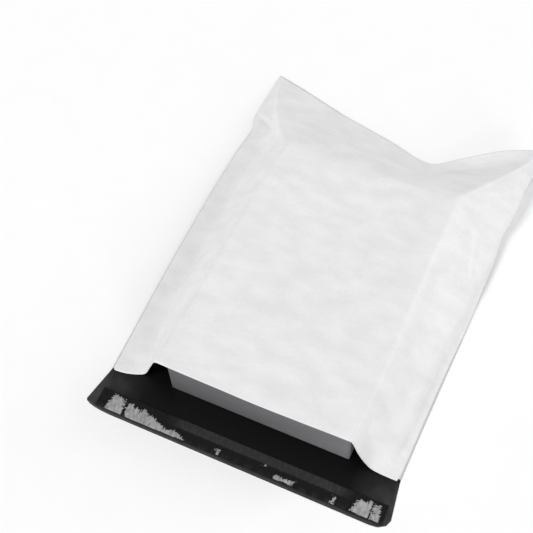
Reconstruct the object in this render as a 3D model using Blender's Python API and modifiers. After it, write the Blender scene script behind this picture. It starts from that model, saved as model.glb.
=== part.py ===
"""A poly mailer bag lying on its back with its mouth open and a closed carton inside.

The bag is one folded sheet of plastic film: a back panel that runs on past the mouth as
the closing flap, and a shorter front panel welded to it along both sides. The flap carries
a band of adhesive under a peel-off liner. Run in Blender 4.5; metres, +Z up, +Y from the
mouth to the closed end. The origin is the centre of the footprint, on the ground.
"""

import math

import bmesh
import bpy
from mathutils import Vector

# Driving dimensions, in metres.
FILM = 0.0003  # wall of the film
GAP = 0.0003  # clearance between pieces that touch
BAG_WIDTH = 0.254  # flat width, from one welded edge to the other
BAG_LENGTH = 0.330  # from the mouth to the closed end, along a side
FLAP_LENGTH = 0.038  # how far the back panel runs on past the mouth
WELD = 0.005  # width of the side welds
WELD_LIP = 0.0008  # beside a weld, where the two panels part
CARTON = (0.148, 0.228, 0.034)
CARTON_X = 0.0045  # the carton lies a little right of the bag's centreline

# Shape that the filled bag takes, seen from above.
MOUTH_HALF_WIDTH = 0.120  # the sides draw in where the front panel lifts
BODY_HALF_WIDTH = 0.1225
END_PULL = 0.046  # how far the closed end is drawn towards the mouth
END_PULL_X = 0.042  # where it is drawn in most
END_PULL_POWER = 1.25  # 1 draws it in as a V, 2 as a parabola
LEFT_SLACK = 0.012  # the film stands this far off the carton's left side
RIGHT_SLACK = 0.002
END_SLACK = 0.003
MOUTH_LYING = 0.45  # share of a side slope that lies on the back panel at the mouth
MOUTH_REACH = 0.4  # share of the carton's length over which the mouth's shape fades out
SLOPE_ROUNDING = 0.35  # 0 makes the side slopes straight, 1 makes them S-shaped

# The far right corner turns up. Each step: how far past the fold it ends, and its rise.
EAR_FOLD = 0.040  # the fold's distance past the carton's corner
EAR_STEPS = ((0.012, 0.001), (0.024, 0.004), (0.036, 0.009), (0.048, 0.015), (0.075, 0.028))

# Adhesive band and liner on the flap.
STRIP_INSET = 0.0015  # from the flap's free edge
ADHESIVE = (0.232, 0.012, 0.0002)
LINER = (0.236, 0.016, 0.0002)

# Carton closure: the slit round the tucked end panel.
SLIT_INSET = 0.0016
SLIT_WIDTH = 0.0005
SLIT_DEPTH = 0.0008
CARTON_EDGE = 0.0006

# Grid of the film: cells across a side slope, across the carton, along it, and past it.
SLOPE_CELLS = 6
TOP_CELLS = 5
LENGTH_CELLS = 8
END_CELLS = 6
FLAP_CELLS = 4
OUTLINE_CELLS = 12

MOUTH_Y = FLAP_LENGTH - (FLAP_LENGTH + BAG_LENGTH) / 2
HALF_WIDTH = BAG_WIDTH / 2
CARTON_BASE = FILM + GAP
FRONT_TOP = CARTON_BASE + CARTON[2] + GAP + FILM
RESTING_TOP = 2 * FILM + GAP  # where the front panel lies on the back panel
WELDED_TOP = 1.5 * FILM  # where it is pressed half its thickness into the back panel

bag_parts = bpy.data.collections.new("poly_mailer_bag")
helpers = bpy.data.collections.new("cutters")


def clear_scene():
    for obj in list(bpy.data.objects):
        bpy.data.objects.remove(obj, do_unlink=True)
    for collection in (bag_parts, helpers):
        bpy.context.scene.collection.children.link(collection)


def material(name, colour, roughness):
    made = bpy.data.materials.new(name)
    made.use_nodes = True
    shader = made.node_tree.nodes["Principled BSDF"]
    shader.inputs["Base Color"].default_value = (*colour, 1.0)
    shader.inputs["Roughness"].default_value = roughness
    shader.inputs["Metallic"].default_value = 0.0
    return made


def add_object(name, bm, collection, finish):
    mesh = bpy.data.meshes.new(name)
    bm.to_mesh(mesh)
    bm.free()
    mesh.materials.append(finish)
    obj = bpy.data.objects.new(name, mesh)
    collection.objects.link(obj)
    return obj


def mix(a, b, t):
    return a + (b - a) * t


def ease(t):
    """Smooth step from 0 to 1."""
    t = min(max(t, 0.0), 1.0)
    return t * t * (3 - 2 * t)


def half_width(v):
    """Half the bag's width in plan, at v metres along the film from the mouth."""
    if v < 0:
        return mix(MOUTH_HALF_WIDTH, HALF_WIDTH, ease(-v / FLAP_LENGTH))
    if v < CARTON[1]:
        return mix(MOUTH_HALF_WIDTH, BODY_HALF_WIDTH, ease(v / CARTON[1]))
    past = (v - CARTON[1]) / (BAG_LENGTH - CARTON[1])
    return mix(BODY_HALF_WIDTH, HALF_WIDTH, ease(past))


def across(v, trim):
    """The front panel's columns at v: (x, share of the way up the side slope, welded or not)."""
    edge = half_width(v) - trim
    seam = half_width(v) - WELD
    lip = seam - WELD_LIP
    left = CARTON_X - CARTON[0] / 2 - LEFT_SLACK
    right = CARTON_X + CARTON[0] / 2 + RIGHT_SLACK
    slope = [i / SLOPE_CELLS for i in range(SLOPE_CELLS + 1)]
    top = [i / TOP_CELLS for i in range(1, TOP_CELLS)]
    columns = [(-edge, 0.0, True), (-seam, 0.0, True)]
    columns += [(mix(-lip, left, t), t, False) for t in slope]
    columns += [(mix(left, right, t), 1.0, False) for t in top]
    columns += [(mix(right, lip, t), 1 - t, False) for t in slope]
    columns += [(seam, 0.0, True), (edge, 0.0, True)]
    return columns


def along(trim):
    """The front panel's rows: (v, share of the way up the end slope, welded or not)."""
    start = CARTON[1] + END_SLACK
    seam = BAG_LENGTH - WELD
    rows = [(start * i / LENGTH_CELLS, 1.0, False) for i in range(LENGTH_CELLS)]
    for i in range(END_CELLS + 1):
        share = i / END_CELLS
        rows.append((mix(start, seam - WELD_LIP, share), 1 - share, False))
    rows += [(seam, 0.0, True), (BAG_LENGTH - trim, 0.0, True)]
    return rows


def plan_y(x, v):
    """Where a point of the film lies along Y: the closed end bows in between its two corners."""
    start = CARTON[1] + END_SLACK
    share = min(max((v - start) / (BAG_LENGTH - start), 0.0), 1.0)
    corner = math.copysign(half_width(v), x - END_PULL_X)
    bow = 1 - ((x - END_PULL_X) / (corner - END_PULL_X)) ** END_PULL_POWER
    return MOUTH_Y + v - END_PULL * bow * share


def lift(side, v):
    """How high the front panel stands at this share of the side slope, from 0 to 1."""
    at_mouth = ease((side - MOUTH_LYING) / (1 - MOUTH_LYING))
    inside = mix(side, ease(side), SLOPE_ROUNDING)
    return mix(at_mouth, inside, ease(v / (MOUTH_REACH * CARTON[1])))


def give_film_thickness(panel):
    skin = panel.modifiers.new("film_thickness", "SOLIDIFY")
    skin.thickness = FILM
    skin.offset = -1.0
    skin.use_even_offset = True


def hide_helper(obj):
    obj.hide_render = True
    obj.display_type = "WIRE"


def make_back_panel(white_film):
    """The back panel and its flap: one flat sheet, cut to the outline of the filled bag."""
    flap = [-FLAP_LENGTH * (1 - i / FLAP_CELLS) for i in range(FLAP_CELLS)]
    body = [BAG_LENGTH * i / OUTLINE_CELLS for i in range(OUTLINE_CELLS + 1)]
    right = [(half_width(v), plan_y(half_width(v), v)) for v in flap + body]
    across_end = [HALF_WIDTH * (1 - 2 * i / OUTLINE_CELLS) for i in range(1, OUTLINE_CELLS)]
    closed_end = [(x, plan_y(x, BAG_LENGTH)) for x in across_end]
    left = [(-x, y) for x, y in reversed(right)]
    bm = bmesh.new()
    bm.faces.new([bm.verts.new((x, y, FILM)) for x, y in right + closed_end + left])
    panel = add_object("back_panel", bm, helpers, white_film)
    give_film_thickness(panel)
    hide_helper(panel)
    return panel


def split_along_ridges(bm):
    """Splits each quad along its higher diagonal, so that the hips at the closed end run straight."""
    for face in list(bm.faces):
        a, b, c, d = face.verts
        if a.co.z + c.co.z > b.co.z + d.co.z:
            bmesh.utils.face_split(face, a, c)
        else:
            bmesh.utils.face_split(face, b, d)


def turn_up_ear(bm):
    """Bends the far right corner upwards, step by step, across the line from the carton's corner."""
    carton_corner = Vector((CARTON_X + CARTON[0] / 2, MOUTH_Y + CARTON[1], 0.0))
    tip = Vector((HALF_WIDTH, plan_y(HALF_WIDTH, BAG_LENGTH), 0.0))
    outwards = (tip - carton_corner).normalized()
    fold = carton_corner + outwards * EAR_FOLD
    steps = ((0.0, 0.0),) + EAR_STEPS
    for distance, _ in steps[:-1]:
        geometry = bm.verts[:] + bm.edges[:] + bm.faces[:]
        place = fold + outwards * distance
        bmesh.ops.bisect_plane(bm, geom=geometry, plane_co=place, plane_no=outwards)
    for vert in bm.verts:
        past = (vert.co - fold).dot(outwards)
        for (start, low), (end, high) in zip(steps, steps[1:]):
            if start < past <= end:
                vert.co.z += mix(low, high, (past - start) / (end - start))


def make_bag(white_film):
    """The whole film: a front panel bent over the carton and welded to the back panel."""
    rows = along(FILM)
    columns = len(across(0.0, FILM))
    bm = bmesh.new()
    bmesh.ops.create_grid(bm, x_segments=columns - 1, y_segments=len(rows) - 1, size=1.0)
    for vert in bm.verts:
        column = round((vert.co.x + 1) / 2 * (columns - 1))
        row = round((vert.co.y + 1) / 2 * (len(rows) - 1))
        v, end, end_welded = rows[row]
        x, side, side_welded = across(v, FILM)[column]
        z = mix(RESTING_TOP, FRONT_TOP, min(lift(side, v), end))
        if end_welded or side_welded:
            z = WELDED_TOP
        vert.co = (x, plan_y(x, v), z)
    split_along_ridges(bm)
    front = add_object("front_panel", bm, helpers, white_film)
    give_film_thickness(front)
    weld = front.modifiers.new("side_welds", "BOOLEAN")
    weld.operation = "UNION"
    weld.solver = "EXACT"
    weld.object = make_back_panel(white_film)
    hide_helper(front)
    bpy.context.view_layer.update()
    graph = bpy.context.evaluated_depsgraph_get()
    welded = bmesh.new()
    welded.from_mesh(front.evaluated_get(graph).data)
    turn_up_ear(welded)
    add_object("film_bag", welded, bag_parts, white_film)


def flat_strip(name, size, base, finish):
    """A thin strip lying on the flap, its middle line parallel to the flap's free edge."""
    bm = bmesh.new()
    bmesh.ops.create_cube(bm, size=1.0)
    bmesh.ops.scale(bm, vec=size, verts=bm.verts)
    strip = add_object(name, bm, bag_parts, finish)
    middle = MOUTH_Y - FLAP_LENGTH + STRIP_INSET + LINER[1] / 2
    strip.location = (0.0, middle, base + size[2] / 2)


def make_carton(card):
    """A closed folding carton, with a slit round the tucked panel at each end."""
    bm = bmesh.new()
    bmesh.ops.create_cube(bm, size=1.0)
    bmesh.ops.scale(bm, vec=CARTON, verts=bm.verts)
    bmesh.ops.bevel(bm, geom=bm.edges, offset=CARTON_EDGE, segments=2, affect="EDGES")
    bm.faces.ensure_lookup_table()
    ends = sorted(bm.faces, key=lambda face: abs(face.normal.y) * face.calc_area())[-2:]
    for end in ends:
        into = -end.normal.copy()
        bmesh.ops.inset_region(bm, faces=[end], thickness=SLIT_INSET)
        slit = bmesh.ops.inset_region(bm, faces=[end], thickness=SLIT_WIDTH)["faces"]
        sunk = bmesh.ops.extrude_face_region(bm, geom=slit)["geom"]
        moved = [item for item in sunk if isinstance(item, bmesh.types.BMVert)]
        bmesh.ops.translate(bm, verts=moved, vec=into * SLIT_DEPTH)
        bmesh.ops.delete(bm, geom=slit, context="FACES_ONLY")
    carton = add_object("carton", bm, bag_parts, card)
    carton.location = (CARTON_X, MOUTH_Y + CARTON[1] / 2, CARTON_BASE + CARTON[2] / 2)


def main():
    clear_scene()
    white_film = material("white_film", (0.87, 0.87, 0.89), 0.38)
    glue = material("hot_melt_adhesive", (0.32, 0.31, 0.29), 0.30)
    liner_film = material("liner_film", (0.24, 0.24, 0.25), 0.22)
    card = material("coated_card", (0.60, 0.60, 0.62), 0.60)

    make_bag(white_film)
    flat_strip("adhesive_strip", ADHESIVE, FILM + GAP, glue)
    flat_strip("release_liner", LINER, FILM + 2 * GAP + ADHESIVE[2], liner_film)
    make_carton(card)


main()
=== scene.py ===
"""The looks of the poly mailer bag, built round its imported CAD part.

Metres, +Z up, +Y from the mouth to the closed end.

The film is one surface, lofted through named lines that run along the bag: its outer side is white and its
inner side black. The flap, the glue band, the peel-off liner and the carton follow, then the studio.
"""

import math

import bmesh
import bpy
import numpy as np
from mathutils import Matrix, Vector


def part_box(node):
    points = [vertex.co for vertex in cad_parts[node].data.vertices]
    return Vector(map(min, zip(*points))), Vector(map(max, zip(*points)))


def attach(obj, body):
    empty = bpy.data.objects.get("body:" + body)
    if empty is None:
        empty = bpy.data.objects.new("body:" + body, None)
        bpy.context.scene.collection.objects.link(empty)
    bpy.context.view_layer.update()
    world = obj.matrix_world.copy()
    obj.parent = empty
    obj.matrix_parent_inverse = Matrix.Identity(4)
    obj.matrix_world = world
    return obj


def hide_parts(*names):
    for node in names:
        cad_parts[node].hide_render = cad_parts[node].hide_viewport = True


MM = 0.001
BODY = "root"

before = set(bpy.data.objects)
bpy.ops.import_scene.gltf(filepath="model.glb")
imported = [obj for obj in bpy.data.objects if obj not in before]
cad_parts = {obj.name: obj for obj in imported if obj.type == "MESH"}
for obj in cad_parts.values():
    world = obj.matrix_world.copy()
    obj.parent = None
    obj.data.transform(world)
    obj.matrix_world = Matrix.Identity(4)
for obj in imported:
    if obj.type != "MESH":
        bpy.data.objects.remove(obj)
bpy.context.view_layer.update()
CARTON_LOW, CARTON_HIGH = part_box("carton")
FILM_LOW, FILM_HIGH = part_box("film_bag")
LINER_LOW, LINER_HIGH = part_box("release_liner")
GLUE_LOW, GLUE_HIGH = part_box("adhesive_strip")

# Camera: where it stands, where it looks and how it is turned, in the row frame.
CAMERA_AT = (0.1461, -0.3998, 0.7018)
CAMERA_AZIMUTH = math.radians(26.72)
CAMERA_ELEVATION = math.radians(58.51)
CAMERA_ROLL = math.radians(-2.998)
LENS = 66.5
SENSOR = 36.0

# Light: name, azimuth and elevation that it comes from in degrees, strength.
LIGHTS = (
    ("key", 45.0, 20.0, 1.01),
    ("front", 315.0, 20.0, 0.63),
    ("fill", 225.0, 45.0, 1.66),
)
SUN_WIDTH = math.radians(25.0)
WORLD_STRENGTH = 0.5

# Film.
FILM = 0.15 * MM
CLEARANCE = 0.25 * MM  # between the film and the carton under it
ROWS = 210  # cells along the front panel
COLUMNS = 168  # cells across it
COARSER = 3  # the back panel's cells are this many times as large
FLAP_ROWS = 16
SMOOTHING_PASSES = 5
BACK_HEIGHT = 0.05 * MM  # where the back panel lies
BACK_RIM_SHARE = 24  # one part in this many of the back panel climbs to its seams
BACK_CLEARANCE = 0.8 * MM  # kept between the two panels

# The front panel is lofted through named lines, from the left weld to the right one. A line has the side of
# the carton that it is measured from and how sharply the film turns there, then its points in mm:
# one at the mouth, as (out from that side, along from the carton's near end, height),
# one at each distance BESIDE the carton's near end, as (out, height),
# and three past the carton, as (out, along from its far end, height).
LEFT, RIGHT = -1, 1
BESIDE = (21.0, 86.0, 156.0, 201.0, 230.0)
LINES = (
    ("left_seam", LEFT, 0.0, (51.0, -4.5, 0.15),
     ((51.5, 0.3), (52.5, 1.8), (52.9, 2.4), (52.3, 2.2), (51.6, 1.6)),
     ((49.4, 27.0, 1.5), (53.4, 49.5, 1.0), (52.1, 99.3, 0.4))),
    ("left_margin", LEFT, 0.0, (40.5, -4.0, 0.5),
     ((42.5, 0.8), (44.0, 2.4), (44.5, 3.0), (44.0, 3.0), (42.5, 3.2)),
     ((41.0, 28.0, 4.0), (47.5, 54.0, 3.2), (52.0, 99.5, 0.5))),
    ("left_foot", LEFT, 0.0, (26.0, 0.5, 1.0),
     ((28.0, 3.0), (35.0, 4.6), (34.3, 5.0), (34.0, 5.5), (31.5, 7.0)),
     ((33.0, 29.0, 7.5), (43.5, 57.0, 5.8), (51.8, 99.7, 0.6))),
    ("left_wall", LEFT, 0.0, (18.5, 3.0, 16.0),
     ((19.0, 18.0), (22.0, 20.0), (21.5, 20.5), (20.5, 21.0), (17.0, 21.5)),
     ((27.5, 30.5, 12.8), (40.0, 59.0, 8.6), (51.5, 99.9, 0.8))),
    ("left_shoulder", LEFT, 0.4, (10.5, 1.0, 35.0),
     ((10.5, 35.1), (7.5, 35.1), (6.2, 35.1), (4.5, 35.1), (2.0, 34.9)),
     ((23.5, 32.0, 18.8), (37.5, 61.0, 11.2), (51.0, 100.0, 1.0))),
    ("top_left", LEFT, 0.0, (0.0, 0.6, 35.2),
     ((-3.5, 35.2), (-3.5, 35.2), (-3.5, 35.2), (-3.5, 35.2), (-5.5, 35.1)),
     ((4.5, 30.0, 24.2), (15.5, 54.0, 12.5), (29.2, 93.8, 1.2))),
    ("top_inner", LEFT, 0.0, (-38.0, 0.0, 35.2),
     ((-38.0, 35.2), (-38.0, 35.2), (-38.0, 35.2), (-38.0, 35.2), (-38.0, 35.1)),
     ((-35.0, 27.0, 24.5), (-24.0, 50.0, 12.8), (-21.5, 77.8, 1.8))),
    ("top_middle", LEFT, 0.0, (-74.0, -0.4, 35.2),
     ((-74.0, 35.2), (-74.0, 35.2), (-74.0, 35.2), (-74.0, 35.2), (-74.0, 35.1)),
     ((-70.0, 24.0, 25.0), (-64.5, 44.5, 12.8), (-69.5, 66.0, 2.0))),
    ("top_right", RIGHT, 0.0, (-36.0, 0.0, 35.2),
     ((-36.0, 35.2), (-36.0, 35.2), (-36.0, 35.2), (-36.0, 35.2), (-34.5, 35.1)),
     ((-36.5, 23.0, 24.6), (-36.0, 40.0, 11.8), (-36.5, 54.8, 2.5))),
    ("ear_near", RIGHT, 0.0, (-17.0, 0.4, 35.2),
     ((-17.0, 35.2), (-17.0, 35.2), (-17.0, 35.2), (-17.0, 35.2), (-16.5, 35.1)),
     ((-14.5, 26.0, 26.0), (-7.6, 56.5, 6.8), (-12.2, 65.2, 9.0))),
    ("ear_middle", RIGHT, 0.0, (-9.0, 0.5, 35.2),
     ((-7.5, 35.2), (-7.5, 35.2), (-7.5, 35.2), (-7.5, 35.2), (-6.5, 35.1)),
     ((1.5, 28.0, 26.5), (13.3, 64.0, 12.3), (5.9, 73.8, 15.0))),
    ("ear_far", RIGHT, 0.0, (-3.0, 0.6, 35.1),
     ((-2.0, 35.2), (-2.0, 35.2), (-2.0, 35.2), (-2.0, 35.2), (-2.0, 35.2)),
     ((11.5, 30.5, 29.0), (30.5, 71.5, 16.8), (24.1, 82.0, 20.0))),
    ("right_ridge", RIGHT, 0.8, (0.6, 0.8, 34.6),
     ((1.2, 35.2), (1.2, 35.2), (1.2, 35.2), (1.2, 35.2), (1.6, 35.2)),
     ((19.8, 31.4, 33.0), (42.5, 67.5, 28.2), (53.5, 90.0, 25.0))),
    ("right_panel", RIGHT, 0.0, (6.0, 0.0, 20.5),
     ((9.5, 24.5), (14.5, 24.0), (15.5, 23.5), (15.5, 26.0), (14.5, 28.5)),
     ((27.5, 28.0, 24.5), (44.5, 61.0, 24.0), (53.4, 89.5, 24.6))),
    ("right_foot", RIGHT, 0.0, (12.5, -0.3, 8.0),
     ((18.5, 14.5), (25.5, 15.0), (29.5, 15.5), (31.5, 16.5), (28.5, 21.0)),
     ((36.0, 25.0, 19.2), (47.0, 56.5, 20.6), (53.3, 89.0, 24.3))),
    ("right_roll", RIGHT, 0.3, (19.0, -0.8, 1.6),
     ((31.5, 5.8), (34.1, 8.2), (41.0, 8.6), (43.2, 9.5), (42.0, 13.0)),
     ((45.5, 23.5, 15.4), (50.0, 54.0, 17.2), (53.3, 88.5, 24.0))),
    ("right_edge", RIGHT, 0.0, (30.0, -1.0, 0.5),
     ((34.0, 1.5), (36.3, 1.6), (44.6, 3.0), (47.0, 5.5), (46.0, 8.5)),
     ((49.0, 22.0, 12.5), (50.8, 56.0, 15.0), (53.4, 88.0, 23.6))),
    ("right_seam", RIGHT, 0.0, (40.6, -0.8, 0.15),
     ((41.1, 0.3), (43.4, 0.4), (46.1, 0.5), (46.4, 1.2), (45.0, 3.0)),
     ((48.3, 21.0, 8.0), (49.9, 55.0, 12.0), (53.2, 87.5, 23.2))),
)
FAR_END_SHARPNESS = 0.35  # how sharply the film turns over the carton's far end

# Creases and dents in the front panel: the side of the carton that they are measured from, their half width
# and height, and the points that they run through, as (out from that side, along from its far end), in mm.
CREASES = (
    ("dart", LEFT, 3.0, -1.6, ((55.0, 50.5), (41.0, 41.0), (27.5, 31.0))),
    ("dart_lip", LEFT, 3.0, 0.7, ((54.0, 55.0), (41.0, 45.0), (28.0, 35.0))),
    ("panel_valley", RIGHT, 8.0, -1.6, ((12.0, -2.0), (20.0, -20.0), (21.5, -42.0), (18.0, -66.0))),
    ("panel_fold", RIGHT, 7.0, 2.6,
     ((15.0, -6.0), (25.0, -24.0), (28.5, -40.0), (33.0, -54.0), (47.0, -55.0))),
    ("ear_fold", RIGHT, 2.2, -0.7, ((14.0, 20.0), (27.0, 31.0), (44.0, 42.0))),
    ("ear_fold_lip", RIGHT, 2.2, 0.6, ((15.0, 16.0), (28.0, 27.0), (45.0, 37.0))),
    ("corner_fold", RIGHT, 2.5, -0.8, ((2.0, 2.0), (12.0, -1.0), (20.0, 2.0))),
)
RIPPLE_SEED = 7
RIPPLE_WAVES = 40
RIPPLE_LENGTHS = (14.0, 70.0)  # shortest and longest wave, in mm
RIPPLE_STEEPNESS = 0.004  # height of each wave for its length

# Flap: rounded corners as (start of the rounding from the middle, reach along X, reach along Y), in mm.
FLAP_LEFT_CORNER = (-103.0, -23.4, 5.3)
FLAP_RIGHT_CORNER = (111.0, 12.0, 9.0)
FLAP_FREE_EDGE = -1.4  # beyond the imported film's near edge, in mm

# Glue band and liner. The liner has come loose in patches, which are lifted and painted pale as a painted
# glint, each drawn as (X from the middle, distance from the liner's free side) in mm, and the other values
# are where its paler band and printed row of bars lie.
STACK_GAP = 0.06 * MM
GLUE = 0.15 * MM
LINER = 0.06 * MM
LINER_CELL = 0.5 * MM
LOOSE_HEIGHT = 0.5 * MM
LOOSE_GLINT_PATCHES = (
    ((-110.5, 0.5), (-95.5, 0.3), (-96.5, 6.0), (-96.8, 12.3), (-101.0, 13.5), (-107.4, 14.4)),
    ((-91.9, 0.4), (-94.5, 6.0), (-93.2, 11.8), (-89.5, 12.0), (-88.3, 8.6), (-85.7, 11.1), (-83.2, 8.2),
     (-80.5, 12.3), (-77.0, 11.0), (-75.9, 7.2), (-73.5, 9.6), (-67.9, 7.4), (-62.0, 5.0), (-57.0, 3.4),
     (-53.0, 5.6), (-48.2, 4.6), (-44.0, 2.4), (-40.7, 1.0), (-52.0, 0.5), (-70.0, 0.3)),
    ((-16.5, 3.6), (-16.3, 5.2), (-12.5, 5.6), (-12.2, 4.3), (-13.4, 3.6), (-13.2, 0.8),
     (-14.6, 0.6), (-15.0, 3.4)),
    ((22.6, 6.2), (24.4, 6.8), (24.8, 8.8), (23.2, 8.2)),
    ((31.0, 2.9), (34.6, 4.9), (39.0, 3.6), (42.1, 4.1), (48.8, 5.2), (46.5, 0.5), (40.0, 1.6), (33.1, 0.5)),
    ((78.9, 6.8), (80.3, 6.4), (79.9, 0.4), (77.2, 0.4)),
    ((92.3, 1.5), (96.2, 11.3), (100.0, 12.6), (102.0, 11.0), (104.3, 14.6), (107.4, 13.2),
     (107.6, 0.6), (100.0, 0.6)),
    ((109.9, 0.6), (108.9, 9.3), (110.7, 14.1), (113.0, 13.3), (114.8, 0.8)),
)
LOOSE_RAGGEDNESS = 0.7  # mm
LINER_BAND = (-64.0, 96.0, 8.2)  # the paler band: from, to, and the distance from the free side, in mm
LINER_BARS = (-68.0, 74.0, 6.0, 1.9)  # the row of short bars: from, to, distance and height, in mm
LINER_BAR_WIDTHS = (1.2, 4.0)
LINER_SEED = 11
# the loose patches' pale tone is a painted glint of light reflected off the lifted liner
TONE_DARK, TONE_BAND, TONE_PAINTED_GLINT = 0.0, 0.35, 1.0

# Carton.
CARTON_BEVEL = 0.7 * MM
TUCK_PANEL = 0.4 * MM  # how far the tucked front panel stands out
TUCK_INSET = 1.2 * MM


def mix(a, b, t):
    return a + (b - a) * t


def ease(t):
    """Smooth step from 0 to 1."""
    t = np.clip(t, 0.0, 1.0)
    return t * t * (3 - 2 * t)


# ---------------------------------------------------------------------------------------------- film


def curve_through(knots, points, sharpness, at):
    """Reads a curve through the points, which never overshoots them, at the given parameters.

    points has one row for each knot. A sharpness of 1 at a knot lets the curve turn a corner there.
    """
    knots = np.asarray(knots, float)
    run = np.diff(knots).reshape(-1, *[1] * (points.ndim - 1))
    chord = np.diff(points, axis=0) / run
    before, after = chord[:-1], chord[1:]
    together = before * after > 0
    total = np.where(together, before + after, 1.0)
    slope = np.concatenate([chord[:1], np.where(together, 2 * before * after / total, 0.0), chord[-1:]])
    sharp = np.asarray(sharpness, float).reshape(-1, *[1] * (points.ndim - 1))
    leaving = mix(slope[:-1], chord, sharp[:-1])
    arriving = mix(slope[1:], chord, sharp[1:])
    span = np.clip(np.searchsorted(knots, at, side="right") - 1, 0, len(knots) - 2)
    length = run[span]
    t = ((at - knots[span]) / np.diff(knots)[span]).reshape(length.shape)
    return (
        points[span] * (1 + 2 * t) * (1 - t) ** 2
        + leaving[span] * length * t * (1 - t) ** 2
        + points[span + 1] * t * t * (3 - 2 * t)
        - arriving[span] * length * t * t * (1 - t)
    )


def carton_side(side):
    return CARTON_LOW.x if side == LEFT else CARTON_HIGH.x


def spread(knots, cells):
    """Evenly spaced parameters from the first knot to the last."""
    return np.linspace(knots[0], knots[-1], cells + 1)


def front_cage():
    """The lines' points in metres, as an array [station, line, xyz]."""
    near, far = CARTON_LOW.y, CARTON_HIGH.y
    cage = []
    for _, side, _, mouth, beside, past in LINES:
        base = carton_side(side)
        places = [(mouth[0], near, mouth[1], mouth[2])]
        places += [(out, near, along, height) for along, (out, height) in zip(BESIDE, beside)]
        places += [(out, far, along, height) for out, along, height in past]
        cage.append([
            (base + side * out * MM, end + along * MM, height * MM)
            for out, end, along, height in places
        ])
    return np.array(cage).transpose(1, 0, 2)


def running_length(points):
    """Mean distance along the first axis of a grid of points, from 0."""
    steps = np.linalg.norm(np.diff(points, axis=0), axis=2).mean(axis=1)
    return np.concatenate([[0.0], np.cumsum(steps)])


def relax(grid, passes):
    """Rounds the grid a little by drawing each inner point towards its neighbours."""
    for _ in range(passes):
        around = (grid[:-2, 1:-1] + grid[2:, 1:-1] + grid[1:-1, :-2] + grid[1:-1, 2:]) / 4
        grid[1:-1, 1:-1] = mix(grid[1:-1, 1:-1], around, 0.5)
        grid[0, 1:-1] = mix(grid[0, 1:-1], (grid[0, :-2] + grid[0, 2:]) / 2, 0.5)
        grid[-1, 1:-1] = mix(grid[-1, 1:-1], (grid[-1, :-2] + grid[-1, 2:]) / 2, 0.5)
        for side in (0, -1):
            grid[1:-1, side] = mix(grid[1:-1, side], (grid[:-2, side] + grid[2:, side]) / 2, 0.5)


def front_grid():
    """The front panel's outer side, as an array [row, column, xyz] from the mouth to the closed end."""
    cage = front_cage()
    along = running_length(cage)
    station_sharpness = np.zeros(len(along))
    station_sharpness[len(BESIDE)] = FAR_END_SHARPNESS
    rows = curve_through(along, cage, station_sharpness, spread(along, ROWS))
    across = running_length(rows.transpose(1, 0, 2))
    line_sharpness = [line[2] for line in LINES]
    grid = curve_through(across, rows.transpose(1, 0, 2), line_sharpness, spread(across, COLUMNS))
    grid = grid.transpose(1, 0, 2)
    for _, side, half_width, height, points in CREASES:
        crease(grid, side, half_width * MM, height * MM, points)
    relax(grid, SMOOTHING_PASSES)
    ripple(grid)
    keep_off_carton(grid)
    return grid


def crease(grid, side, half_width, height, points):
    """Raises the grid along a line on plan, fading out to both sides and at both ends."""
    line = [(carton_side(side) + side * out * MM, CARTON_HIGH.y + past * MM) for out, past in points]
    nearest = np.full(grid.shape[:2], np.inf)
    share = np.zeros(grid.shape[:2])
    spans = len(line) - 1
    for i, (start, end) in enumerate(zip(line, line[1:])):
        start, run = np.array(start), np.subtract(end, start)
        t = np.clip((grid[..., :2] - start) @ run / (run @ run), 0, 1)
        distance = np.linalg.norm(grid[..., :2] - start - t[..., None] * run, axis=2)
        closer = distance < nearest
        nearest = np.where(closer, distance, nearest)
        share = np.where(closer, (i + t) / spans, share)
    profile = np.clip(1 - (nearest / half_width) ** 2, 0, None) ** 2
    grid[..., 2] += height * profile * ease(share / 0.2) * ease((1 - share) / 0.2)


def normals(grid):
    along, across = np.gradient(grid, axis=0), np.gradient(grid, axis=1)
    up = np.cross(across, along)
    return up / np.maximum(np.linalg.norm(up, axis=2, keepdims=True), 1e-12)


def ripple(grid):
    """Adds the faint waves of thin film that was once folded flat."""
    rng = np.random.default_rng(RIPPLE_SEED)
    height = np.zeros(grid.shape[:2])
    x, y = grid[..., 0], grid[..., 1]
    for _ in range(RIPPLE_WAVES):
        length = MM * RIPPLE_LENGTHS[0] * (RIPPLE_LENGTHS[1] / RIPPLE_LENGTHS[0]) ** rng.random()
        heading = rng.normal(math.pi / 2, 0.6)
        phase = rng.random() * 2 * math.pi
        wave = np.sin(2 * math.pi * (x * math.cos(heading) + y * math.sin(heading)) / length + phase)
        height += RIPPLE_STEEPNESS * length * wave / math.sqrt(RIPPLE_WAVES)
    rim = np.ones(grid.shape[:2])
    rim[:] = ease(np.minimum(np.arange(COLUMNS + 1), COLUMNS - np.arange(COLUMNS + 1)) / 12)
    grid += normals(grid) * (height * rim)[..., None]


def keep_off_carton(grid):
    """Lifts what would dip into the carton's top."""
    x, y, z = grid[..., 0], grid[..., 1], grid[..., 2]
    over = (x > CARTON_LOW.x - MM) & (x < CARTON_HIGH.x + 0.6 * MM) & (y < CARTON_HIGH.y + 0.6 * MM)
    grid[..., 2] = np.where(over, np.maximum(z, CARTON_HIGH.z + FILM + CLEARANCE), z)


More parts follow.
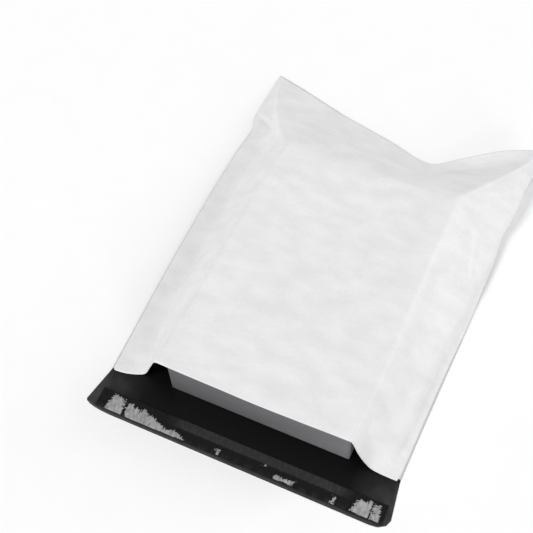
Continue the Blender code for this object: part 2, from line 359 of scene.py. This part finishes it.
def back_grid(front):
    """The back panel's outer side on a coarser grid, with the front panel's seams and closed end."""
    rim = front[::COARSER, ::COARSER]
    left, right, end = rim[:, 0], rim[:, -1], rim[-1]
    count_rows, count_columns = rim.shape[:2]
    s = np.linspace(0, 1, count_columns)[None, :, None]
    t = np.linspace(0, 1, count_rows)[:, None, None]
    sides = mix(left[:, None], right[:, None], s)
    start = mix(left[0], right[0], s[0])
    corners = mix(mix(left[0], right[0], s), mix(left[-1], right[-1], s), t)
    grid = sides + mix(start[None], end[None], t) - corners
    near_rim = np.minimum(np.minimum(s, 1 - s) * BACK_RIM_SHARE, (1 - t) * BACK_RIM_SHARE)
    lying = mix(grid[..., 2], BACK_HEIGHT, ease(near_rim[..., 0]))
    grid[..., 2] = np.clip(lying, BACK_HEIGHT, np.maximum(rim[..., 2] - BACK_CLEARANCE, BACK_HEIGHT))
    return grid


def rounded(x, corner):
    """Moves an end of a straight edge along X round an elliptical corner; returns x and the rise along Y."""
    start, reach, rise = (value * MM for value in corner)
    angle = np.clip((x - start) / reach, 0, 1) * math.pi / 2
    beyond = angle > 0
    return np.where(beyond, start + reach * np.sin(angle), x), rise * (1 - np.cos(angle))


def flap_grid(mouth_row):
    """The flap's outer side, from its free edge to the mouth, where it ends on the back panel's first row."""
    share = (mouth_row[:, 0] - mouth_row[0, 0]) / (mouth_row[-1, 0] - mouth_row[0, 0])
    left_end = (FLAP_LEFT_CORNER[0] + FLAP_LEFT_CORNER[1]) * MM
    right_end = (FLAP_RIGHT_CORNER[0] + FLAP_RIGHT_CORNER[1]) * MM
    free_x, left_rise = rounded(mix(left_end, right_end, share), FLAP_LEFT_CORNER)
    free_x, right_rise = rounded(free_x, FLAP_RIGHT_CORNER)
    free_y = FILM_LOW.y + FLAP_FREE_EDGE * MM + left_rise + right_rise
    t = np.linspace(0, 1, FLAP_ROWS + 1)[:, None]
    grid = np.empty((FLAP_ROWS + 1, len(share), 3))
    grid[..., 0] = mix(free_x[None], mouth_row[None, :, 0], t)
    grid[..., 1] = mix(free_y[None], mouth_row[None, :, 1], t)
    grid[..., 2] = mouth_row[None, :, 2]
    return grid


def add_mesh(name, bm):
    mesh = bpy.data.meshes.new(name)
    bm.to_mesh(mesh)
    bm.free()
    mesh.shade_smooth()
    obj = bpy.data.objects.new(name, mesh)
    bpy.context.scene.collection.objects.link(obj)
    return obj


def add_faces(bm, verts):
    """Quads over a grid of vertices."""
    for row, next_row in zip(verts, verts[1:]):
        for i in range(len(row) - 1):
            bm.faces.new((row[i], row[i + 1], next_row[i + 1], next_row[i]))


def grid_verts(bm, grid):
    return [[bm.verts.new(point) for point in row] for row in grid.tolist()]


def back_faces(bm, front, back):
    """The back panel's faces, which pick up the front panel's vertices along the seams and the closed end."""
    last_row, last_column = len(back) - 1, len(back[0]) - 1
    step = COARSER
    for i in range(last_row):
        for j in range(last_column):
            loop = [back[i][j], back[i + 1][j]]
            if j == 0:
                loop = [front[i * step + k][0] for k in range(step + 1)]
            if i == last_row - 1:
                loop += [front[-1][j * step + k] for k in range(1, step + 1)]
            else:
                loop.append(back[i + 1][j + 1])
            if j == last_column - 1:
                loop += [front[i * step + k][-1] for k in range(step - 1, -1, -1)]
            else:
                loop.append(back[i][j + 1])
            bm.faces.new(loop)


def make_film(white, black):
    front = front_grid()
    back = back_grid(front)
    flap = flap_grid(back[0])
    bm = bmesh.new()
    front_verts = grid_verts(bm, front)
    back_verts = [[None] * len(back[0]) for _ in back]
    for i, row in enumerate(back.tolist()):
        for j, point in enumerate(row):
            if j == 0:
                back_verts[i][j] = front_verts[i * COARSER][0]
            elif j == len(row) - 1:
                back_verts[i][j] = front_verts[i * COARSER][-1]
            elif i == len(back) - 1:
                back_verts[i][j] = front_verts[-1][j * COARSER]
            else:
                back_verts[i][j] = bm.verts.new(point)
    flap_verts = grid_verts(bm, flap[:-1])
    flap_verts.append(back_verts[0])
    add_faces(bm, front_verts)
    back_faces(bm, front_verts, back_verts)
    add_faces(bm, [row[::-1] for row in flap_verts])
    film = add_mesh("film", bm)
    film.data.materials.append(white)
    film.data.materials.append(black)
    skin = film.modifiers.new("film_thickness", "SOLIDIFY")
    skin.thickness = FILM
    skin.offset = -1.0
    skin.material_offset = 1
    skin.material_offset_rim = 0
    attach(film, BODY)
    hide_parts("film_bag")
    return film


# ----------------------------------------------------------------------------------------- materials


class Finish:
    """A procedural material: its node tree, its Principled shader and helpers that add nodes."""

    def __init__(self, name, roughness, specular=0.5):
        self.material = bpy.data.materials.new(name)
        self.material.use_nodes = True
        self.tree = self.material.node_tree
        self.shader = self.tree.nodes["Principled BSDF"]
        self.shader.inputs["Roughness"].default_value = roughness
        self.shader.inputs["Specular IOR Level"].default_value = specular
        self.place = self.tree.nodes.new("ShaderNodeTexCoord").outputs["Object"]

    def link(self, source, target):
        self.tree.links.new(source, target)

    def stretched(self, scale):
        """The object's coordinates, scaled separately along X, Y and Z."""
        mapping = self.tree.nodes.new("ShaderNodeMapping")
        mapping.inputs["Scale"].default_value = scale
        self.link(self.place, mapping.inputs["Vector"])
        return mapping.outputs["Vector"]

    def noise(self, size, detail=3.0, stretch=(1.0, 1.0, 1.0)):
        """Noise from 0 to 1 with blotches of about this size in metres."""
        node = self.tree.nodes.new("ShaderNodeTexNoise")
        node.inputs["Scale"].default_value = 1 / size
        node.inputs["Detail"].default_value = detail
        self.link(self.stretched(stretch), node.inputs["Vector"])
        return node.outputs["Fac"]

    def ramp(self, value, stops):
        """Turns a value into a colour through (position, colour) stops."""
        node = self.tree.nodes.new("ShaderNodeValToRGB")
        elements = node.color_ramp.elements
        while len(elements) < len(stops):
            elements.new(1.0)
        for element, (position, colour) in zip(elements, stops):
            element.position = position
            element.color = (*colour, 1.0)
        self.link(value, node.inputs["Fac"])
        return node.outputs["Color"]

    def blend(self, mode, factor, first, second):
        """Mixes two colours; the factor is a number or a socket."""
        node = self.tree.nodes.new("ShaderNodeMix")
        node.data_type = "RGBA"
        node.blend_type = mode
        if isinstance(factor, float):
            node.inputs[0].default_value = factor
        else:
            self.link(factor, node.inputs[0])
        self.link(first, node.inputs[6])
        self.link(second, node.inputs[7])
        return node.outputs[2]

    def ranged(self, value, low, high):
        """The value's place between low and high, from 0 to 1."""
        node = self.tree.nodes.new("ShaderNodeMapRange")
        node.inputs["From Min"].default_value = low
        node.inputs["From Max"].default_value = high
        self.link(value, node.inputs["Value"])
        return node.outputs["Result"]

    def coordinate(self, axis):
        node = self.tree.nodes.new("ShaderNodeSeparateXYZ")
        self.link(self.place, node.inputs[0])
        return node.outputs[axis]

    def maths(self, operation, value, other=0.0):
        node = self.tree.nodes.new("ShaderNodeMath")
        node.operation = operation
        self.link(value, node.inputs[0])
        if isinstance(other, float):
            node.inputs[1].default_value = other
        else:
            self.link(other, node.inputs[1])
        return node.outputs[0]

    def colour(self, socket):
        self.link(socket, self.shader.inputs["Base Color"])

    def bump(self, height, distance):
        node = self.tree.nodes.new("ShaderNodeBump")
        node.inputs["Distance"].default_value = distance
        self.link(height, node.inputs["Height"])
        self.link(node.outputs["Normal"], self.shader.inputs["Normal"])


def grey(value, blue=1.0):
    return (value, value, value * blue)


def white_film():
    """Milky film: faint clouds along its length, fine grain, and slight scuffs."""
    made = Finish("white_film", 0.45)
    blotches = made.noise(16 * MM, 4.0, (0.7, 1.3, 1.0))
    clouds = made.ramp(blotches, ((0.3, grey(0.755, 1.012)), (0.7, grey(0.83, 1.012))))
    grain = made.ramp(made.noise(2.5 * MM, 2.0), ((0.3, grey(0.965)), (0.7, grey(1.0))))
    made.colour(made.blend("MULTIPLY", 1.0, clouds, grain))
    made.bump(made.noise(3.5 * MM, 3.0, (0.6, 1.4, 1.0)), 0.05 * MM)
    return made.material


def black_film():
    """Black film: near black, paler towards the flap's ends and its free edge with a painted reflection."""
    made = Finish("black_film", 0.38, 0.14)
    # painted reflection: paler towards the flap's ends and free edge, left off inside the mouth
    ends = made.ranged(made.maths("ABSOLUTE", made.coordinate("X")), 86 * MM, 122 * MM)
    edge = made.ranged(made.coordinate("Y"), FILM_LOW.y + 7 * MM, FILM_LOW.y)
    painted_sheen = made.maths("MAXIMUM", ends, edge)
    outside = made.ranged(made.coordinate("Y"), CARTON_LOW.y + 3 * MM, CARTON_LOW.y - 14 * MM)
    painted_sheen = made.maths("MULTIPLY", painted_sheen, outside)
    painted_sheen = made.maths("MULTIPLY", painted_sheen, made.ranged(made.noise(9 * MM, 5.0), -0.1, 0.7))
    made.colour(made.ramp(painted_sheen, ((0.0, grey(0.0035)), (1.0, grey(0.05)))))
    made.bump(made.noise(4 * MM, 3.0), 0.04 * MM)
    return made.material


def glue_finish():
    """Clear hot melt, slightly yellow and streaky."""
    made = Finish("hot_melt_adhesive", 0.25)
    streaks = made.noise(5 * MM, 3.0, (0.3, 2.0, 1.0))
    made.colour(made.ramp(streaks, ((0.3, (0.05, 0.048, 0.04)), (0.7, (0.1, 0.095, 0.08)))))
    return made.material


def liner_finish():
    """Peel-off film: dark where it sticks to the glue, with a painted glint where it has come loose."""
    made = Finish("liner_film", 0.22, 0.2)
    tone = made.tree.nodes.new("ShaderNodeAttribute")
    tone.attribute_name = "tone"
    # the top of the ramp is the painted glint on the loose patches
    stops = ((0.0, grey(0.006)), (0.2, grey(0.014)), (0.4, grey(0.036)), (0.7, grey(0.16)), (1.0, grey(0.36)))
    base = made.ramp(tone.outputs["Fac"], stops)
    streaks = made.ramp(made.noise(2.2 * MM, 5.0, (1.0, 0.5, 1.0)), ((0.25, grey(0.55)), (0.75, grey(1.25))))
    made.colour(made.blend("MULTIPLY", 1.0, base, streaks))
    made.bump(made.noise(1.8 * MM, 3.0), 0.05 * MM)
    return made.material


def card_finish():
    """Coated grey card, paler towards its right end, painted shade darkening its top, with a faint fibre."""
    made = Finish("coated_card", 0.5, 0.3)
    along = made.ranged(made.coordinate("X"), CARTON_LOW.x, CARTON_HIGH.x)
    # darker towards the top: painted shade from the film hanging over the carton's near face
    painted_shade_at_top = made.ranged(made.coordinate("Z"), CARTON_HIGH.z, CARTON_LOW.z)
    shade = made.maths("ADD", made.maths("MULTIPLY", along, 0.6), made.maths("MULTIPLY", painted_shade_at_top, 0.4))
    base = made.ramp(shade, ((0.0, grey(0.12, 1.04)), (0.6, grey(0.165, 1.04)), (1.0, grey(0.27, 1.04))))
    fibre = made.ramp(made.noise(1.5 * MM, 4.0, (0.5, 1.0, 1.0)), ((0.3, grey(0.93)), (0.7, grey(1.04))))
    made.colour(made.blend("MULTIPLY", 1.0, base, fibre))
    return made.material


def floor_finish():
    """Matt paper with the faintest tooth."""
    made = Finish("floor", 0.9)
    made.colour(made.ramp(made.noise(30 * MM, 2.0), ((0.3, grey(0.935)), (0.7, grey(0.945)))))
    return made.material


# ------------------------------------------------------------------------------- glue, liner, carton


def inside(x, y, polygon):
    """Which points lie inside a polygon."""
    found = np.zeros(x.shape, bool)
    for (x1, y1), (x2, y2) in zip(polygon, polygon[1:] + polygon[:1]):
        if y1 == y2:
            continue
        crosses = ((y1 > y) != (y2 > y)) & (x < (x2 - x1) * (y - y1) / (y2 - y1) + x1)
        found ^= crosses
    return found


def wander(rng, values, length, amount):
    """A smooth seeded wobble along an axis: a few sines of about this length."""
    total = np.zeros(values.shape)
    for _ in range(6):
        total += np.sin(2 * math.pi * values / (length * (0.5 + rng.random())) + rng.random() * 2 * math.pi)
    return amount * total / math.sqrt(6)


def liner_tones(x, across):
    """How pale the liner is at each point, in mm from its middle and free side; loose patches get a painted
    glint.
    """
    rng = np.random.default_rng(LINER_SEED)
    ragged_x = x + wander(rng, across, 3.0, LOOSE_RAGGEDNESS) + wander(rng, x, 2.0, LOOSE_RAGGEDNESS)
    ragged_y = across + wander(rng, x, 2.6, LOOSE_RAGGEDNESS * ease(across / 4))
    start, end, side = LINER_BAND
    band_side = side + wander(rng, x, 4.0, 0.25)
    ends = ease((x - start) / 18) * ease((end - x) / 18)
    tone = np.full(x.shape, TONE_DARK) + TONE_BAND * ends * ease((across - band_side) / 0.8)
    tone += 0.2 * ease((4.5 - across) / 3) * ease(0.5 + wander(rng, x, 16.0, 0.7))
    start, end, low, height = LINER_BARS
    at = start
    while at < end:
        width = rng.uniform(*LINER_BAR_WIDTHS)
        rise = rng.uniform(0.0, 0.9)
        bar = (x > at) & (x < at + width) & (across > low) & (across < low + height + rise)
        tone = np.where(bar, TONE_DARK, tone)
        at += width + rng.uniform(0.5, 1.4)
    loose = np.zeros(x.shape, bool)
    for patch in LOOSE_GLINT_PATCHES:
        loose |= inside(ragged_x, ragged_y, patch)
    # the loose patches take the painted glint tone
    return np.where(loose, TONE_PAINTED_GLINT, tone), loose


def grid_plate(name, grid, thickness, finish):
    """A thin plate that hangs below a grid of points."""
    bm = bmesh.new()
    add_faces(bm, grid_verts(bm, grid))
    plate = add_mesh(name, bm)
    plate.data.materials.append(finish)
    skin = plate.modifiers.new("thickness", "SOLIDIFY")
    skin.thickness = thickness
    skin.offset = -1.0
    return plate


def strip_grid(low, high, cell, top):
    """A flat grid over a strip, with edges that wander a little."""
    columns = int((high.x - low.x) / cell)
    rows = int((high.y - low.y) / cell)
    x, y = np.meshgrid(np.linspace(low.x, high.x, columns + 1), np.linspace(low.y, high.y, rows + 1))
    share = (y - low.y) / (high.y - low.y) - 0.5
    rng = np.random.default_rng(LINER_SEED)
    y = y + share * wander(rng, x, 40 * MM, 0.25 * MM)
    return np.stack([x, y, np.full(x.shape, top)], axis=2)


def make_glue(flap_top):
    grid = strip_grid(GLUE_LOW, GLUE_HIGH, 4 * LINER_CELL, flap_top + STACK_GAP + GLUE)
    glue = grid_plate("glue_band", grid, GLUE, glue_finish())
    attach(glue, BODY)
    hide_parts("adhesive_strip")
    return grid[0, 0, 2]


def make_liner(glue_top):
    grid = strip_grid(LINER_LOW, LINER_HIGH, LINER_CELL, glue_top + STACK_GAP + LINER)
    x, across = grid[..., 0] / MM, (grid[..., 1] - LINER_LOW.y) / MM
    tone, loose = liner_tones(x, across)
    rng = np.random.default_rng(LINER_SEED)
    height = LOOSE_HEIGHT * loose * (0.6 + 0.4 * np.sin(x * 1.9 + across * 0.8))
    soft = height.copy()
    for _ in range(2):
        soft[1:-1, 1:-1] = (soft[:-2, 1:-1] + soft[2:, 1:-1] + soft[1:-1, :-2] + soft[1:-1, 2:]) / 4
    grid[..., 2] += soft + 0.03 * MM * (1 + wander(rng, x, 6.0, 0.4))
    liner = grid_plate("liner", grid, LINER, liner_finish())
    painted = liner.data.attributes.new("tone", "FLOAT", "POINT")
    painted.data.foreach_set("value", tone.ravel())
    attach(liner, BODY)
    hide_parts("release_liner")


def make_carton():
    """The closed carton: a bevelled box with its tucked panel standing a little proud of the near end."""
    bm = bmesh.new()
    tuck_low = Vector((CARTON_LOW.x + TUCK_INSET, CARTON_LOW.y, CARTON_LOW.z + TUCK_INSET))
    tuck_high = Vector((CARTON_HIGH.x - TUCK_INSET, CARTON_LOW.y + 2 * MM, CARTON_HIGH.z - TUCK_INSET / 2))
    body_low = CARTON_LOW + Vector((0, TUCK_PANEL, 0))
    for low, high, bevel in ((body_low, CARTON_HIGH, CARTON_BEVEL), (tuck_low, tuck_high, TUCK_PANEL / 2)):
        box = bmesh.ops.create_cube(bm, size=1.0)["verts"]
        middle, size = (low + high) / 2, high - low
        for vert in box:
            vert.co = middle + Vector(a * b for a, b in zip(vert.co, size))
        edges = list({edge for vert in box for edge in vert.link_edges})
        bmesh.ops.bevel(bm, geom=edges, offset=bevel, segments=3, affect="EDGES", profile=0.5)
    carton = add_mesh("carton_card", bm)
    carton.data.materials.append(card_finish())
    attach(carton, BODY)
    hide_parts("carton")


# -------------------------------------------------------------------------------------------- studio


def make_floor():
    bm = bmesh.new()
    bmesh.ops.create_grid(bm, x_segments=1, y_segments=1, size=4.0)
    floor = add_mesh("studio_floor", bm)
    floor.location.z = -0.2 * MM
    floor.data.materials.append(floor_finish())


def soft_sun(name, azimuth, elevation, strength):
    """A wide soft light. Azimuth 0 comes from +X and 90 from +Y, in degrees."""
    light = bpy.data.lights.new(name, "SUN")
    light.angle = SUN_WIDTH
    light.energy = strength
    obj = bpy.data.objects.new(name, light)
    bpy.context.scene.collection.objects.link(obj)
    a, e = math.radians(azimuth), math.radians(elevation)
    towards_light = Vector((math.cos(a) * math.cos(e), math.sin(a) * math.cos(e), math.sin(e)))
    obj.rotation_mode = "QUATERNION"
    obj.rotation_quaternion = towards_light.to_track_quat("Z", "Y")


def make_studio():
    make_floor()
    scene = bpy.context.scene
    scene.world = bpy.data.worlds.new("studio")
    scene.world.use_nodes = True
    background = scene.world.node_tree.nodes["Background"]
    background.inputs["Color"].default_value = (1.0, 1.0, 1.0, 1.0)
    background.inputs["Strength"].default_value = WORLD_STRENGTH
    for light in LIGHTS:
        soft_sun(*light)
    scene.view_settings.view_transform = "Standard"


def make_camera():
    camera = bpy.data.objects.new("camera", bpy.data.cameras.new("camera"))
    bpy.context.scene.collection.objects.link(camera)
    camera.data.lens = LENS
    camera.data.sensor_width = SENSOR
    a, e = CAMERA_AZIMUTH, CAMERA_ELEVATION
    back = Vector((math.sin(a) * math.cos(e), -math.cos(a) * math.cos(e), math.sin(e)))
    right = Vector((math.cos(a), math.sin(a), 0.0))
    upright = Matrix((right, back.cross(right), back)).transposed()
    turned = upright @ Matrix.Rotation(CAMERA_ROLL, 3, "Z")
    camera.rotation_mode = "QUATERNION"
    camera.rotation_quaternion = turned.to_quaternion()
    camera.location = CAMERA_AT
    bpy.context.scene.camera = camera


def main():
    make_camera()
    make_film(white_film(), black_film())
    make_liner(make_glue(BACK_HEIGHT + FILM))
    make_carton()
    make_studio()


main()
